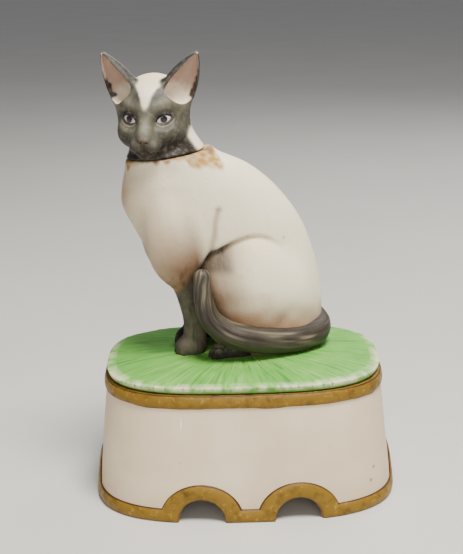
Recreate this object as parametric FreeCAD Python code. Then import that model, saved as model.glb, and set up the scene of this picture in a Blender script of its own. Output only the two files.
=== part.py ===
import FreeCAD, Part
import math
import os

# A bisque porcelain decanter: a seated cat on a green cushion, on a white stool with gilt trim.
# The stool and the cat's body are one hollow vessel. The head is its stopper, with a cork glued in.
# Millimetres, +Z up. Origin: centre of the stool's foot, on the surface that it stands on.
# The cat's body faces -X, and its left side is towards -Y.

V = FreeCAD.Vector

# ---- driving dimensions ----
FOOT_A, FOOT_B = 81.5, 59.6          # half length and half depth of the stool at its foot
BAND_A, BAND_B = 74.7, 52.9          # the same at the top of the skirt
SKIRT_TOP = 68.2                     # height of the skirt
SQUARENESS = 3.0                     # exponent of the superellipse that gives the stool's outline
WALL = 3.6                           # wall of the slip-cast ware
TRIM = 1.0                           # how far the gilt trim stands proud
TOP_BAND_H = 6.6                     # height of the upper gilt band
FOOT_BAND_H = 7.0                    # width of the lower gilt band
ARCH_HALF, ARCH_H = 12.4, 12.4       # half width and height of each arch in the foot
HOOP_HALF, HOOP_H = 22.4, 20.6       # half width and height of the gilt hoop over an arch
ARCH_PITCH = 51.0                    # distance between the two arches of a long side
ARCH_SHIFT = 1.5                     # how far that pair stands off the middle
FLOOR_Z, FLOOR_T = 25.0, 3.6         # underside and thickness of the reservoir's floor
CUSHION_A, CUSHION_B = 74.6, 52.7    # half length and half depth of the cushion's rim
RIM_Z = 72.0                         # height of the cushion's widest line
SEAT_RISE = 5.4                      # how far the cushion's middle stands above its rim
THROAT_A, THROAT_B = 15.0, 12.0      # half sizes of the hole from the stool into the cat
THROAT_X, THROAT_Y = 14.0, 8.5

CAT_AT = V(0, 6, 0)                  # the point that the cat's body is turned about
CAT_TURN = 10.0                      # degrees that its body is turned towards -Y
NECK_R = 21.4                        # radius of the joint between body and head
NECK_AT = V(-38.6, -0.8, 186.6)      # centre of that joint
NECK_TILT = 6.4                      # degrees that the joint dips towards the chest
JOINT_GAP = 0.4                      # open joint between body and head
SPOUT_R = 9.6                        # radius of the pouring hole at its mouth
SPOUT_L = 17.0                       # length of the pouring hole
COLLAR_R = 15.8                      # radius of the disc that carries the pouring hole
CORK_TAPER = 1.0                     # how much the cork narrows over the spout's length
CORK_FIT = 0.12                      # radial play of the cork in the spout
CORK_BELOW, CORK_ABOVE = 22.0, 13.0  # length of cork below and above the joint

HEAD_AT = V(-44.1, -3.4, 206.0)      # middle of the head
HEAD_YAW = 11.0                      # degrees from -Y towards -X that the face looks
HEAD_SHELL = 4.0                     # wall of the head
EAR_TIP = V(3.5, 25.0, 33.8)         # tip of the left ear from the middle of the head: forward, left, up


# ---- helpers ----
def closed_spline(points):
    curve = Part.BSplineCurve()
    curve.interpolate(points, PeriodicFlag=True)
    return Part.Wire([curve.toShape()])


def superellipse(a, b, z, count=40):
    """Outline |x/a|^n + |y/b|^n = 1 at height z, as a closed wire."""
    points = []
    for k in range(count):
        angle = 2 * math.pi * k / count
        c, s = math.cos(angle), math.sin(angle)
        radius = (abs(c / a) ** SQUARENESS + abs(s / b) ** SQUARENESS) ** (-1 / SQUARENESS)
        points.append(V(radius * c, radius * s, z))
    return closed_spline(points)


def ellipse_wire(x, y, z, rx, ry, count=20):
    turn = [2 * math.pi * k / count for k in range(count)]
    return closed_spline([V(x + rx * math.cos(t), y + ry * math.sin(t), z) for t in turn])


def ellipsoid(centre, radii, turn=None):
    """A sphere stretched to three radii, turned by a rotation, and put at its centre."""
    matrix = FreeCAD.Matrix()
    matrix.scale(*radii)
    body = Part.makeSphere(1.0).transformGeometry(matrix)
    body.Placement = FreeCAD.Placement(centre, turn or FreeCAD.Rotation())
    return body


def tube(stations):
    """A tapering limb: circles of the given radii across the path through the given points."""
    path = Part.BSplineCurve()
    path.interpolate([p for p, r in stations])
    rings = []
    for point, radius in stations:
        along = path.tangent(path.parameter(point))[0]
        rings.append(Part.Wire([Part.makeCircle(radius, point, along)]))
    limb = Part.makeLoft(rings, True, False)
    for (point, radius), nudge in ((stations[0], 0.985), (stations[-1], 0.985)):
        limb = limb.fuse(Part.makeSphere(radius * nudge, point))
    return limb


def flare(inset=0.0):
    """The stool's tapering form over its full height, pulled in by inset."""
    foot = superellipse(FOOT_A - inset, FOOT_B - inset, 0)
    top = superellipse(BAND_A - inset, BAND_B - inset, SKIRT_TOP)
    return Part.makeLoft([foot, top], True, True)


def slab(z_low, z_high):
    """A wide block between two heights, to cut a level slice from a shape."""
    reach = 4 * FOOT_A
    return Part.makeBox(reach, reach, z_high - z_low, V(-reach / 2, -reach / 2, z_low))


def arch_bars(half, height):
    """Half-elliptic bars through the foot: two along Y for the long sides, one along X for the ends."""
    reach = 3 * FOOT_A
    section = ellipse_wire(0, 0, -reach / 2, half, height)
    bar = Part.Face(section).extrude(V(0, 0, reach))
    bar.rotate(V(0, 0, 0), V(1, 0, 0), 90)
    bars = []
    for middle in (ARCH_SHIFT - ARCH_PITCH / 2, ARCH_SHIFT + ARCH_PITCH / 2):
        bars.append(bar.translated(V(middle, 0, 0)))
    bar.rotate(V(0, 0, 0), V(0, 0, 1), 90)
    return bars + [bar]


def save(shape, node):
    solids = [s for s in shape.Solids if s.Volume > 1.0]
    result = solids[0] if len(solids) == 1 else Part.makeCompound(solids)
    print(node, len(solids), "solids", round(result.Volume), "mm3", "valid", result.isValid())
    result.exportStep("parts/" + node + ".step")


# ---- stool ----
def make_stool_skirt():
    """The flared wall of the stool, open below, with two arches front and back and one at each end."""
    wall = flare().cut(flare(WALL))
    for bar in arch_bars(ARCH_HALF, ARCH_H):
        wall = wall.cut(bar)
    return wall


def make_foot_band():
    """A raised gilt strip along the foot, which rises over the arches."""
    strip = flare(-TRIM).cut(flare())
    region = slab(0, FOOT_BAND_H)
    for bar in arch_bars(HOOP_HALF, HOOP_H):
        region = region.fuse(bar.common(slab(0, FLOOR_Z)))
    strip = strip.common(region)
    for bar in arch_bars(ARCH_HALF, ARCH_H):
        strip = strip.cut(bar)
    return strip


def make_top_band():
    return flare(-TRIM).cut(flare()).common(slab(SKIRT_TOP - TOP_BAND_H, SKIRT_TOP))


def make_reservoir_floor():
    return flare(WALL).common(slab(FLOOR_Z, FLOOR_Z + FLOOR_T))


def cushion_pad():
    """A low padded shape: its edge swells past the skirt, and its top is a shallow dome."""
    rings = [superellipse(CUSHION_A * 0.972, CUSHION_B * 0.972, SKIRT_TOP)]
    for k in (1.0, 0.985, 0.95, 0.9, 0.82, 0.7, 0.5):
        rings.append(superellipse(CUSHION_A * k, CUSHION_B * k, seat_height(k)))
    return Part.makeLoft(rings, True, True)


def seat_height(k):
    """Height of the dome at the outline that is k times the cushion's own."""
    return RIM_Z + SEAT_RISE * (1 - k ** 2.6) ** 0.8


def make_cushion(pad):
    """The pad, hollow below and open in the middle, so that liquid runs between stool and cat."""
    hollow = superellipse(CUSHION_A * 0.8, CUSHION_B * 0.8, SKIRT_TOP - 1)
    hollow_top = superellipse(CUSHION_A * 0.7, CUSHION_B * 0.7, RIM_Z + 1)
    shell = pad.cut(Part.makeLoft([hollow, hollow_top], True, True))
    throat = ellipse_wire(THROAT_X, THROAT_Y, SKIRT_TOP - 5, THROAT_A, THROAT_B)
    return shell.cut(Part.Face(throat).extrude(V(0, 0, 20)))


# ---- cat's body, built square to the axes and then turned as a whole ----
# Horizontal sections of the trunk: height, front, back, half width.
TRUNK = (
    (70, -9, 44.5, 22.0),
    (80, -12, 45, 22.5),
    (92, -18, 45.2, 22.5),
    (106, -28, 45.0, 22.0),
    (120, -40.4, 42.8, 22.0),
    (134, -50.5, 38.9, 22.5),
    (148, -58.1, 33.0, 23.5),
    (160, -63.4, 24.9, 23.5),
    (171, -62.8, 14.7, 23.0),
    (180, -60.9, 2.4, 22.0),
    (186, -60.4, -10.5, 21.5),
    (192, -60.0, -17.5, 21.4),
)


def trunk(inset, z_low, z_high):
    """The trunk's loft, or with an inset the hollow inside it."""
    rings = []
    for z, front, back, half in TRUNK:
        if z_low <= z <= z_high:
            rx = (back - front) / 2 - inset * 1.12
            rings.append(ellipse_wire((back + front) / 2, 0, z, rx, half - inset))
    return Part.makeLoft(rings, True, False)


def turned(shape):
    """Turns a shape from the cat's own square axes to its place on the cushion."""
    shape.rotate(V(0, 0, 0), V(0, 0, 1), CAT_TURN)
    shape.translate(CAT_AT)
    return shape


def neck_placed(shape):
    """Puts a shape made about +Z at the origin on the neck joint's axis."""
    shape.rotate(V(0, 0, 0), V(0, 1, 0), -NECK_TILT)
    shape.translate(NECK_AT)
    return shape


def body_form(pad):
    """The outer form of the cat's body: trunk and two haunches, from the cushion to the neck joint."""
    form = trunk(0, 0, 200)
    for side in (-1, 1):
        haunch = ellipsoid(V(6.5, side * 11.5, 111.5), V(27.5, 15.0, 35.0))
        form = form.fuse(haunch)
    form = turned(form).cut(pad).common(slab(RIM_Z, 200))
    lid = neck_placed(Part.makeCylinder(60, 60, V(0, 0, -JOINT_GAP / 2)))
    return form.cut(lid)


def spout():
    """The tapering pouring hole, along the neck's axis."""
    cone = Part.makeCone(SPOUT_R, SPOUT_R - CORK_TAPER, SPOUT_L + 1, V(0, 0, 0), V(0, 0, -1))
    cap = Part.makeCylinder(SPOUT_R, 3)
    return neck_placed(cone.fuse(cap))


def make_torso(form):
    """The hollow body, with a round hole in its neck for the pouring collar."""
    hollow = turned(trunk(WALL + 1.0, 0, 180)).common(slab(RIM_Z + SEAT_RISE + WALL, 200))
    hollow = hollow.fuse(turned(ellipsoid(V(13, 0, 80), V(19, 14, 12))))
    hole = Part.makeCylinder(COLLAR_R, SPOUT_L + 6, V(0, 0, -SPOUT_L))
    return form.cut(hollow).cut(neck_placed(hole))


def make_pouring_collar():
    """A disc luted in the neck, with a tube below it that the cork plugs."""
    top = -JOINT_GAP / 2
    disc = Part.makeCylinder(COLLAR_R, WALL, V(0, 0, top - WALL))
    pipe = Part.makeCylinder(SPOUT_R + WALL, SPOUT_L + top, V(0, 0, -SPOUT_L))
    return neck_placed(disc.fuse(pipe)).cut(spout())


def make_foreleg(side, others):
    stations = [
        (V(-37.0, side * 8.6, 134), 9.5),
        (V(-29.6, side * 8.2, 112), 7.6),
        (V(-26.0, side * 7.9, 95), 6.4),
        (V(-26.6, side * 7.8, 84), 6.6),
    ]
    leg = tube(stations)
    paw = ellipsoid(V(-30.0, side * 7.9, 81.0), V(9.4, 7.1, 7.4))
    return without(turned(leg.fuse(paw)), others)


def make_hind_paw(side, others):
    """The toes that show in front of the haunch, beside the forelegs."""
    paw = ellipsoid(V(-10.0, side * 19.0, 80.0), V(12.0, 5.6, 7.6))
    return without(turned(paw), others)


def make_tail(others):
    """The tail leaves the rump, wraps round the cat's left side and rises in front of the haunch."""
    stations = [
        (V(37.0, 11.0, 89.5), 7.4),
        (V(42.6, 0.0, 86.8), 7.6),
        (V(37.0, -13.5, 84.6), 7.5),
        (V(22.0, -22.4, 84.6), 7.4),
        (V(3.0, -27.6, 87.0), 7.1),
        (V(-11.5, -28.8, 92.4), 6.7),
        (V(-21.4, -27.6, 101.5), 5.8),
        (V(-25.2, -25.8, 113.0), 4.9),
        (V(-25.4, -24.0, 128.0), 4.5),
    ]
    return without(turned(tube(stations)), others)


def without(shape, others):
    for other in others:
        shape = shape.cut(other)
    return shape.common(slab(RIM_Z, 200))


# ---- head, built facing +X with +Y to its left, then turned and tipped as a whole ----
def head_placed(shape):
    shape.rotate(V(0, 0, 0), V(0, 0, 1), -90 - HEAD_YAW)
    shape.translate(HEAD_AT)
    return shape


def head_form():
    """Skull, cheeks, wedge-shaped muzzle and chin, and the neck down to the joint."""
    skull = ellipsoid(V(-2.0, 0, 3.0), V(21.0, 19.5, 19.6))
    cheeks = ellipsoid(V(3.0, 0, -5.0), V(17.5, 18.0, 13.5))
    muzzle = ellipsoid(V(15.5, 0, -10.5), V(10.5, 10.5, 8.5))
    form = head_placed(skull.fuse(cheeks).fuse(muzzle))
    mouth = Part.makeCone(NECK_R, NECK_R * 0.84, 20)
    form = form.fuse(neck_placed(mouth))
    return form.cut(neck_placed(Part.makeCylinder(90, 90, V(0, 0, JOINT_GAP / 2 - 90))))


def make_head(form):
    """The hollow head, with a socket in its neck that the cork is glued into."""
    hollow = head_placed(ellipsoid(V(-2.0, 0, 4.0), V(21.0, 19.5, 19.6).sub(V(1, 1, 1) * HEAD_SHELL)))
    socket = neck_placed(Part.makeCylinder(SPOUT_R - CORK_FIT, CORK_ABOVE + 0.5))
    return form.cut(hollow).cut(socket)


def make_ear(side, form):
    """A tall pointed ear that leans out from the skull, scooped out at the front."""
    root = V(1.5, side * 14.0, 11.5)
    tip = V(EAR_TIP.x, side * EAR_TIP.y, EAR_TIP.z)
    shell, scoop = [], []
    for share, depth, width in ((0.0, 5.6, 8.8), (0.35, 4.6, 7.4), (0.7, 2.9, 4.4), (1.0, 0.8, 0.9)):
        middle = root + (tip - root) * share
        shell.append(ellipse_wire(middle.x, middle.y, middle.z, depth, width))
    for share, depth, width in ((-0.1, 5.2, 7.6), (0.4, 4.0, 5.6), (0.86, 1.8, 2.0)):
        middle = root + (tip - root) * share
        scoop.append(ellipse_wire(middle.x + 3.6 - 1.2 * share, middle.y, middle.z, depth, width))
    ear = Part.makeLoft(shell, True, False).cut(Part.makeLoft(scoop, True, False))
    return head_placed(ear).cut(form)


def make_cork():
    """A tapered cork: its upper part is glued in the head, its lower part plugs the spout."""
    radius = SPOUT_R - CORK_FIT
    slope = CORK_TAPER / SPOUT_L
    low = Part.makeCone(radius, radius - slope * CORK_BELOW, CORK_BELOW, V(0, 0, 0), V(0, 0, -1))
    high = Part.makeCylinder(radius, CORK_ABOVE)
    return neck_placed(low.fuse(high))


def main():
    os.makedirs("parts", exist_ok=True)
    save(make_stool_skirt(), "stool_skirt")
    save(make_foot_band(), "foot_band")
    save(make_top_band(), "top_band")
    save(make_reservoir_floor(), "reservoir_floor")
    pad = cushion_pad()
    save(make_cushion(pad), "cushion")

    form = body_form(pad)
    save(make_torso(form), "torso")
    save(make_pouring_collar(), "pouring_collar")
    near_tail = [form, pad]
    for name, side in (("left", -1), ("right", 1)):
        leg = make_foreleg(side, [form, pad])
        paw = make_hind_paw(side, [form, pad, leg])
        save(leg, name + "_foreleg")
        save(paw, name + "_hind_paw")
        near_tail += [leg, paw]
    save(make_tail(near_tail), "tail")

    skull = head_form()
    save(make_head(skull), "head")
    for name, side in (("left", 1), ("right", -1)):
        save(make_ear(side, skull), name + "_ear")
    save(make_cork(), "stopper_cork")


main()
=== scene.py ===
import math

import bmesh
import bpy
import numpy as np
from mathutils import Matrix


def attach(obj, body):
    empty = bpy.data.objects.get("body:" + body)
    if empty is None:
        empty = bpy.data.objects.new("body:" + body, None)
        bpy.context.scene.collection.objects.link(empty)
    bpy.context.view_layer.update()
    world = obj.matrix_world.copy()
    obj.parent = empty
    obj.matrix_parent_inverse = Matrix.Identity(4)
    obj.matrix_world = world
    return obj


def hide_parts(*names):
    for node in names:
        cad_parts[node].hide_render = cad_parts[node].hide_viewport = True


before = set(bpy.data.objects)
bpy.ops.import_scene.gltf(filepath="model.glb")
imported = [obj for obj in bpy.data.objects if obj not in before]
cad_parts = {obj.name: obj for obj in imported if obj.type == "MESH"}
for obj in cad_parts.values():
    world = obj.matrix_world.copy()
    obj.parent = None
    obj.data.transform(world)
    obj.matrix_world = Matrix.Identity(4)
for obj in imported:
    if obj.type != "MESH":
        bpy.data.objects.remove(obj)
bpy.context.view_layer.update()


# ---- table, light and camera ----
# The decanter stands on a plain pale table under a soft lamp that hangs above it, in front and a little to its right.
# A weak lamp stands further out in front and one behind. The camera looks down on it slightly, from about 0.64 m.
TABLE_REACH = 6.0
TABLE_TOP = -0.0001
CAMERA_AT = (-0.01115, -0.63888, 0.29725)
CAMERA_RIGHT = (0.99964, -0.01557, -0.02200)
CAMERA_UP = (0.02540, 0.27129, 0.96216)
CAMERA_AHEAD = (0.00901, 0.96237, -0.27159)
LENS = 79.0
SHINE = 0.28


def paint(red, green, blue):
    """A paint colour on the 0 to 255 scale, as linear light."""
    share = np.array([red, green, blue]) / 255
    return np.where(share <= 0.04045, share / 12.92, ((share + 0.055) / 1.055) ** 2.4)


def pot(red, green, blue):
    """The same colour with full cover, as a shader socket takes it."""
    return (*paint(red, green, blue), 1.0)


def add(tree, kind, feeds=(), **settings):
    """Adds a node: settings are its own options, feeds are values for its sockets or the sockets that feed them."""
    node = tree.nodes.new(kind)
    for option, value in settings.items():
        setattr(node, option, value)
    for socket, value in dict(feeds).items():
        if isinstance(value, bpy.types.NodeSocket):
            tree.links.new(value, node.inputs[socket])
        else:
            node.inputs[socket].default_value = value
    return node


def grain(tree, scale, stretch=(1, 1, 1), turn=(0, 0, 0), detail=3.0):
    """Soft noise fixed in the piece, scale features to the metre, finer along the stretched axes."""
    place = add(tree, "ShaderNodeTexCoord").outputs["Object"]
    place = add(tree, "ShaderNodeMapping", {0: place, "Rotation": turn, "Scale": stretch}).outputs[0]
    return add(tree, "ShaderNodeTexNoise", {"Vector": place, "Scale": scale, "Detail": detail}).outputs[0]


def spread(tree, value, low, high, to_low=0.0, to_high=1.0):
    """Stretches the values between low and high over a new range."""
    return add(tree, "ShaderNodeMapRange", {0: value, 1: low, 2: high, 3: to_low, 4: to_high}).outputs[0]


def times(tree, first, second):
    """Product of two values."""
    return add(tree, "ShaderNodeMath", {0: first, 1: second}, operation="MULTIPLY").outputs[0]


def over(tree, under, colour, mask):
    """Lays one colour over another where the mask is 1."""
    return add(tree, "ShaderNodeMix", {0: mask, 6: under, 7: colour}, data_type="RGBA").outputs[2]


def start_finish(name, roughness, metallic=0.0, coat=0.0, sheen=0.0):
    """A new finish with one Principled shader."""
    finish = bpy.data.materials.new(name)
    finish.use_nodes = True
    shader = finish.node_tree.nodes["Principled BSDF"]
    shader.inputs["Roughness"].default_value = roughness
    shader.inputs["Metallic"].default_value = metallic
    shader.inputs["Coat Weight"].default_value = coat
    shader.inputs["Specular IOR Level"].default_value = SHINE
    shader.inputs["Sheen Weight"].default_value = sheen
    return finish, finish.node_tree, shader


def emboss(tree, shader, height, depth, strength=1.0):
    """Relief of the given depth in metres."""
    bump = add(tree, "ShaderNodeBump", {"Height": height, "Strength": strength, "Distance": depth})
    tree.links.new(bump.outputs[0], shader.inputs["Normal"])


table_mesh = bpy.data.meshes.new("table_top")
corners = [(i * TABLE_REACH, j * TABLE_REACH, TABLE_TOP) for i, j in ((-1, -1), (1, -1), (1, 1), (-1, 1))]
table_mesh.from_pydata(corners, [], [(0, 1, 2, 3)])
table = bpy.data.objects.new("table_top", table_mesh)
bpy.context.scene.collection.objects.link(table)
table_finish, tree, shader = start_finish("pale_table", 0.8)
tone = over(tree, pot(196, 194, 190), pot(206, 204, 200), grain(tree, 6.0))
tree.links.new(tone, shader.inputs["Base Color"])
table_mesh.materials.append(table_finish)

sky = bpy.data.worlds.new("studio")
bpy.context.scene.world = sky
sky.use_nodes = True
sky.node_tree.nodes["Background"].inputs["Color"].default_value = (0.93, 0.95, 1.0, 1.0)
sky.node_tree.nodes["Background"].inputs["Strength"].default_value = 0.28


def hang_lamp(name, place, towards, size, watts, tint=(1.0, 1.0, 1.0)):
    """A square soft lamp at one point, facing another."""
    lamp = bpy.data.lights.new(name, "AREA")
    lamp.size = size
    lamp.energy = watts
    lamp.color = tint
    holder = bpy.data.objects.new(name, lamp)
    bpy.context.scene.collection.objects.link(holder)
    back = np.array(place, float) - np.array(towards, float)
    back /= np.linalg.norm(back)
    side = np.cross((0, 0, 1), back)
    side /= np.linalg.norm(side)
    rise = np.cross(back, side)
    holder.matrix_world = Matrix([(side[k], rise[k], back[k], place[k]) for k in range(3)] + [(0, 0, 0, 1)])


hang_lamp("key_lamp", (0.18, -0.34, 1.15), (0, 0, 0.10), 0.40, 29.0, (1.0, 0.96, 0.88))
hang_lamp("front_lamp", (0.0, -1.30, 0.60), (0, 0, 0.10), 0.7, 6.0, (1.0, 0.97, 0.92))
hang_lamp("back_lamp", (0.5, 0.9, 0.9), (0, 0, 0.12), 0.7, 6.0)

camera = bpy.data.cameras.new("camera")
camera.lens = LENS
camera.clip_start = 0.01
camera_holder = bpy.data.objects.new("camera", camera)
bpy.context.scene.collection.objects.link(camera_holder)
camera_holder.matrix_world = Matrix(
    [(CAMERA_RIGHT[k], CAMERA_UP[k], -CAMERA_AHEAD[k], CAMERA_AT[k]) for k in range(3)] + [(0, 0, 0, 1)])
bpy.context.scene.camera = camera_holder


# ---- wall of the stool ----
# The stool is a slip-cast bisque shell, flared towards its foot and left unglazed and cream white.
# Two arches are cut in each long side and one in each end, and their edges were sponged round.
FOOT_A, FOOT_B = 81.5, 59.6
BAND_A, BAND_B = 74.7, 52.9
SKIRT_TOP = 68.2
SQUARENESS = 3.0
WALL = 3.6
ARCH_HALF, ARCH_H = 12.4, 12.4
ARCH_PITCH, ARCH_SHIFT = 51.0, 1.5
TOP_BAND_H = 6.6
GILT_FROM = 0.0630


def outline_radius(angle, a, b):
    """Superellipse in polar form: radius = (|cos/a|^n + |sin/b|^n)^(-1/n)."""
    return (np.abs(np.cos(angle) / a) ** SQUARENESS + np.abs(np.sin(angle) / b) ** SQUARENESS) ** (-1 / SQUARENESS)


def on_flare(angle, z, outset=0.0):
    """Points of the flared wall: the outline's half sizes shrink evenly from foot to top; outset moves it outward."""
    share = z / SKIRT_TOP
    a = FOOT_A + (BAND_A - FOOT_A) * share + outset
    b = FOOT_B + (BAND_B - FOOT_B) * share + outset
    radius = outline_radius(angle, a, b)
    return np.stack([radius * np.cos(angle), radius * np.sin(angle), z + 0 * angle], -1)


def arched_edge(half, height, base, outset=0.0):
    """An edge that runs level at base and rises in a half ellipse over each arch.

    Starts between the two front arches and goes once round, by rising polar angle. Returns angle and height."""
    start = math.asin(base / height)
    turn = np.linspace(start, math.pi - start, 48)
    along, z = -half * np.cos(turn), height * np.sin(turn)
    a = FOOT_A + (BAND_A - FOOT_A) * z / SKIRT_TOP + outset
    b = FOOT_B + (BAND_B - FOOT_B) * z / SKIRT_TOP + outset
    right, left = ARCH_SHIFT + ARCH_PITCH / 2, ARCH_SHIFT - ARCH_PITCH / 2
    arches = []
    for side, middle in ((-1, right), ("end", 1), (1, right), (1, left), ("end", -1), (-1, left)):
        if side == "end":
            y = middle * along
            x = middle * a * (1 - np.abs(y / b) ** SQUARENESS) ** (1 / SQUARENESS)
        else:
            x = middle - side * along
            y = side * b * (1 - np.abs(x / a) ** SQUARENESS) ** (1 / SQUARENESS)
        arches.append(np.maximum.accumulate(np.unwrap(np.arctan2(y, x))))
    angles, heights = [], []
    for k, angle in enumerate(arches):
        while angles and angle[0] < angles[-1][-1]:
            angle = angle + 2 * math.pi
        angles.append(angle)
        heights.append(z)
        following = arches[(k + 1) % 6][0]
        while following < angle[-1]:
            following += 2 * math.pi
        count = 28 if k in (2, 5) else 72
        angles.append(np.linspace(angle[-1], following, count + 2)[1:-1])
        heights.append(np.full(count, float(base)))
    return np.concatenate(angles), np.concatenate(heights)


def ripple(u, v, cells_u, cells_v, seed):
    """Random values on a lattice, eased between its points; it closes on itself over u from 0 to 1."""
    knots = np.random.default_rng(seed).uniform(-1, 1, (cells_u, cells_v + 2))
    u, v = np.mod(u, 1.0) * cells_u, np.clip(v, 0, 1) * cells_v
    i, j = np.floor(u).astype(int), np.floor(v).astype(int)
    s, t = u - i, v - j
    s, t = s * s * (3 - 2 * s), t * t * (3 - 2 * t)
    i0, i1 = i % cells_u, (i + 1) % cells_u
    return ((knots[i0, j] * (1 - s) + knots[i1, j] * s) * (1 - t)
            + (knots[i0, j + 1] * (1 - s) + knots[i1, j + 1] * s) * t)


def quads(rows, columns, wrap_rows=True, wrap_columns=True):
    """Faces of a grid of points, closed on itself where it wraps."""
    i, j = np.meshgrid(np.arange(rows if wrap_rows else rows - 1),
                       np.arange(columns if wrap_columns else columns - 1), indexing="ij")
    n, m = (i + 1) % rows, (j + 1) % columns
    return np.stack([i * columns + j, n * columns + j, n * columns + m, i * columns + m], -1).reshape(-1, 4)


def make_piece(name, points, faces, finish, body, replaces=(), looks=None, normals=None, crease=50, merge=False):
    """Makes one piece from points in millimetres and four-sided faces, turned so that they look outward.

    Looks are values or colours for each point, which the finish reads as attributes."""
    points = np.asarray(points, float).reshape(-1, 3)
    a, b, c, d = (points[faces[:, k]] for k in range(4))
    if np.sum(a * np.cross(b, c)) + np.sum(a * np.cross(c, d)) < 0:
        faces = faces[:, ::-1]
    mesh = bpy.data.meshes.new(name)
    mesh.from_pydata(points / 1000, [], faces)
    for look, values in (looks or {}).items():
        values = np.asarray(values, np.float32)
        if values.size == 3 * len(points):
            cover = np.ones((len(points), 4), np.float32)
            cover[:, :3] = values.reshape(-1, 3)
            mesh.attributes.new(look, "FLOAT_COLOR", "POINT").data.foreach_set("color", cover.ravel())
        else:
            mesh.attributes.new(look, "FLOAT", "POINT").data.foreach_set("value", values.ravel())
    mesh.shade_smooth()
    if merge:
        soft = bmesh.new()
        soft.from_mesh(mesh)
        bmesh.ops.remove_doubles(soft, verts=soft.verts, dist=2e-6)
        soft.to_mesh(mesh)
        soft.free()
    if normals is None:
        mesh.set_sharp_from_angle(angle=math.radians(crease))
    else:
        mesh.normals_split_custom_set_from_vertices(normals)
    mesh.materials.append(finish)
    piece = bpy.data.objects.new(name, mesh)
    bpy.context.scene.collection.objects.link(piece)
    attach(piece, body)
    if replaces:
        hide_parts(*replaces)
    return piece


def bisque_grain():
    """Shader group: the cloudy tone, the fine tooth and the stray specks of unglazed porcelain."""
    group = bpy.data.node_groups.new("bisque_grain", "ShaderNodeTree")
    for name, value in (("Cloud Size", 30.0), ("Tooth Size", 1400.0)):
        group.interface.new_socket(name, in_out="INPUT", socket_type="NodeSocketFloat").default_value = value
    for name in ("Cloud", "Tooth", "Specks"):
        group.interface.new_socket(name, in_out="OUTPUT", socket_type="NodeSocketFloat")
    given = group.nodes.new("NodeGroupInput")
    result = group.nodes.new("NodeGroupOutput")
    place = add(group, "ShaderNodeTexCoord").outputs["Object"]
    cloud = add(group, "ShaderNodeTexNoise",
                {"Vector": place, "Scale": given.outputs[0], "Detail": 5.0, "Roughness": 0.6})
    tooth = add(group, "ShaderNodeTexNoise", {"Vector": place, "Scale": given.outputs[1], "Detail": 3.0})
    dots = add(group, "ShaderNodeTexVoronoi", {"Vector": place, "Scale": 75.0, "Randomness": 1.0})
    rare = add(group, "ShaderNodeTexNoise", {"Vector": place, "Scale": 38.0, "Detail": 0.0})
    dot = times(group, spread(group, dots.outputs["Distance"], 0.10, 0.03), spread(group, rare.outputs[0], 0.58, 0.66))
    group.links.new(spread(group, cloud.outputs[0], 0.3, 0.7), result.inputs[0])
    group.links.new(tooth.outputs[0], result.inputs[1])
    group.links.new(dot, result.inputs[2])
    return group


GRAIN = bisque_grain()


def grained(tree, cloud_size=30.0, tooth_size=1400.0):
    """Places the grain group in a finish, and gives its cloud, tooth and specks."""
    node = add(tree, "ShaderNodeGroup", node_tree=GRAIN)
    node.inputs["Cloud Size"].default_value = cloud_size
    node.inputs["Tooth Size"].default_value = tooth_size
    return node.outputs["Cloud"], node.outputs["Tooth"], node.outputs["Specks"]


def look_of(tree, name, channel="Fac"):
    """Reads one of the piece's attributes."""
    return add(tree, "ShaderNodeAttribute", attribute_name=name).outputs[channel]


def height_of(tree):
    """Height above the table in metres."""
    return add(tree, "ShaderNodeSeparateXYZ", {0: add(tree, "ShaderNodeTexCoord").outputs["Object"]}).outputs[2]


def gilt_colour(tree, base):
    """Antique gold paint: brown where it lies thin, lighter where it is rubbed."""
    colour = over(tree, base, pot(76, 52, 12), spread(tree, grain(tree, 160, detail=6.0), 0.50, 0.72, 0.0, 0.75))
    return over(tree, colour, pot(184, 150, 66), spread(tree, grain(tree, 420, detail=4.0), 0.58, 0.72, 0.0, 0.55))


low_angle, low_z = arched_edge(ARCH_HALF, ARCH_H, 0.0)
inner_angle = arched_edge(ARCH_HALF, ARCH_H, 0.0, -WALL)[0]
climb = np.linspace(0, 1, 26)[:, None]
outer_z = low_z + (SKIRT_TOP - low_z) * climb
outer_angle = np.broadcast_to(low_angle, outer_z.shape)
share_round = (outer_angle - low_angle[0]) / (2 * math.pi)
dent = 0.16 * ripple(share_round, outer_z / SKIRT_TOP, 14, 5, 3) * np.sin(math.pi * np.clip(outer_z / SKIRT_TOP, 0, 1))
outer = on_flare(outer_angle, outer_z, dent)
inner_z = low_z + (SKIRT_TOP - low_z) * climb[::-2]
inner = on_flare(np.broadcast_to(inner_angle, inner_z.shape), inner_z, -WALL)
skirt_points = np.concatenate([outer, inner])

skirt_finish, tree, shader = start_finish("skirt_bisque", 0.6)
cloud, tooth, specks = grained(tree, 26.0)
colour = over(tree, pot(236, 219, 190), pot(222, 202, 170), cloud)
colour = over(tree, colour, pot(196, 176, 150), spread(tree, grain(tree, 11), 0.56, 0.76, 0.0, 0.4))
colour = over(tree, colour, pot(150, 118, 84), specks)
height = height_of(tree)
lip = add(tree, "ShaderNodeMath", {0: height, 1: times(tree, grain(tree, 55, detail=2.0), 0.0034)}, operation="ADD")
gilded = spread(tree, lip.outputs[0], GILT_FROM - 0.0001, GILT_FROM + 0.0001)
colour = over(tree, colour, gilt_colour(tree, pot(124, 96, 30)), gilded)
colour = over(tree, colour, pot(188, 160, 128), spread(tree, height, 0.020, 0.004, 0.0, 0.35))
tree.links.new(colour, shader.inputs["Base Color"])
tree.links.new(spread(tree, tooth, 0.3, 0.7, 0.54, 0.68), shader.inputs["Roughness"])
emboss(tree, shader, tooth, 0.00006)
skirt = make_piece("stool_wall", skirt_points, quads(*skirt_points.shape[:2]), skirt_finish,
                   "bottle", ["stool_skirt"])
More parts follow.
